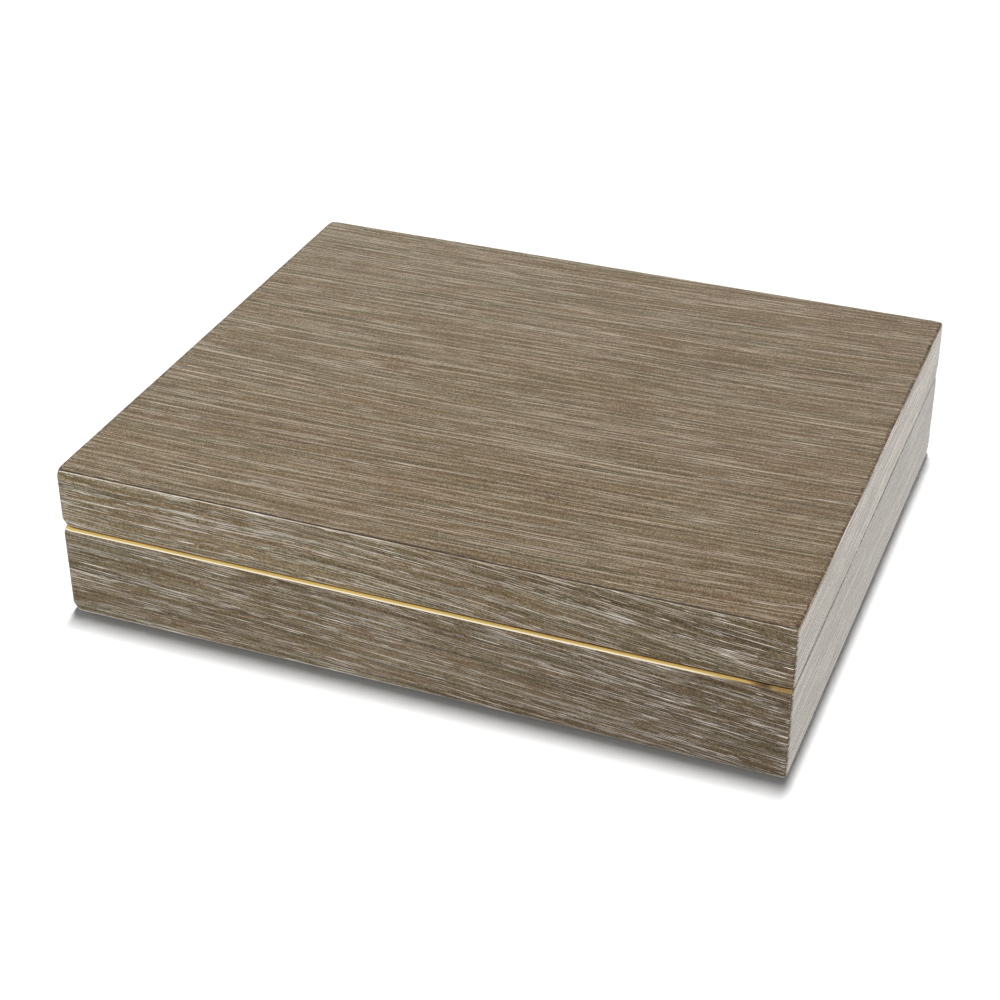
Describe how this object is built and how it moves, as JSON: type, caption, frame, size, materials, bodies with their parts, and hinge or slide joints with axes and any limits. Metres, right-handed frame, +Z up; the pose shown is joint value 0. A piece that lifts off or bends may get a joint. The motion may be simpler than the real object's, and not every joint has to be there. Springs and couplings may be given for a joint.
{
  "type": "hinged keepsake box",
  "caption": "Low rectangular keepsake box in limed, brushed oak veneer with a hinged lid, a brass line let into the front rim of the base, a padded lining and a felt underside.",
  "frame": {"origin": "middle of the felt underside, on the surface that the box stands on", "axes": "+X to the right along the front, +Y from the front to the hinges at the back, +Z up"},
  "size_m": [0.286, 0.241, 0.0643],
  "materials": {
    "oak_veneer": "brushed and limed, satin",
    "carcass_wood": "sanded",
    "brass_line": "polished",
    "hinge_brass": "satin",
    "screw_brass": "polished",
    "lining_fabric": "short-pile suede cloth",
    "felt": "pressed felt"
  },
  "bodies": {
    "base": {"base_wall_front": "carcass_wood", "base_wall_back": "carcass_wood", "base_wall_left": "carcass_wood", "base_wall_right": "carcass_wood", "base_bottom_panel": "carcass_wood", "base_mitre_keys": "carcass_wood", "base_veneer_front": "oak_veneer", "base_veneer_back": "oak_veneer", "base_veneer_left": "oak_veneer", "base_veneer_right": "oak_veneer", "rim_band_front": "brass_line", "floor_pad": "lining_fabric", "base_lining_front": "lining_fabric", "base_lining_back": "lining_fabric", "base_lining_left": "lining_fabric", "base_lining_right": "lining_fabric", "underside_felt": "felt", "hinge_base_leaf_left": "hinge_brass", "hinge_base_leaf_right": "hinge_brass", "hinge_pin_left": "hinge_brass", "hinge_pin_right": "hinge_brass", "base_hinge_screws": "screw_brass"},
    "lid": {"lid_wall_front": "carcass_wood", "lid_wall_back": "carcass_wood", "lid_wall_left": "carcass_wood", "lid_wall_right": "carcass_wood", "lid_top_panel": "carcass_wood", "lid_mitre_keys": "carcass_wood", "lid_veneer_top": "oak_veneer", "lid_veneer_front": "oak_veneer", "lid_veneer_back": "oak_veneer", "lid_veneer_left": "oak_veneer", "lid_veneer_right": "oak_veneer", "lid_pad": "lining_fabric", "lid_lining_front": "lining_fabric", "lid_lining_back": "lining_fabric", "lid_lining_left": "lining_fabric", "lid_lining_right": "lining_fabric", "hinge_lid_leaf_left": "hinge_brass", "hinge_lid_leaf_right": "hinge_brass", "lid_hinge_screws": "screw_brass"}
  },
  "joints": [
    {"name": "lid_hinge", "type": "hinge", "parent": "base", "child": "lid", "pos_m": [0, 0.1181, 0.03932], "axis": [-1, 0, 0], "range_deg": [0, 95]}
  ]
}
